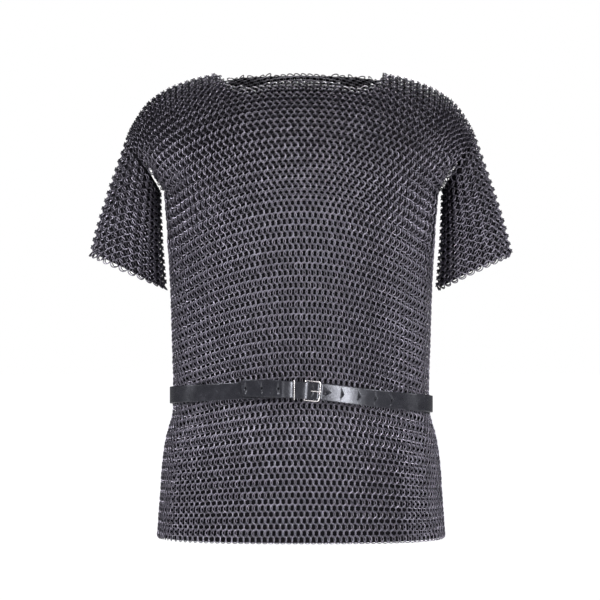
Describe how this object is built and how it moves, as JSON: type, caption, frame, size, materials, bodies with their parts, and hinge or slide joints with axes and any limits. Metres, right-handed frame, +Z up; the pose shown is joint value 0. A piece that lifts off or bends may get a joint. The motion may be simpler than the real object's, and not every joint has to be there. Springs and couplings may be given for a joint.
{
  "type": "short-sleeved mail shirt with a leather belt",
  "caption": "Hip-length mail shirt of linked steel rings with a boat neck and short sleeves, worn hollow, closed at the waist by a plain leather belt with a wire buckle.",
  "frame": {"origin": "between the shoulders at the level of the neck hole, where the wearer carries the weight", "axes": "+Z up, the front faces -Y, +X to the viewer's right seen from the front"},
  "size_m": [0.616, 0.265, 0.6832],
  "materials": {
    "mail": "oiled, blackened steel rings with worn, paler high spots",
    "leather": "smooth black strap leather with a soft sheen",
    "buckle_steel": "plain bright steel wire"
  },
  "bodies": {
    "root": {"front": "mail", "back": "mail", "sleeve_left": "mail", "sleeve_right": "mail", "belt_strap": "leather", "buckle_frame": "buckle_steel", "buckle_prong": "buckle_steel", "keeper": "buckle_steel"}
  },
  "joints": []
}
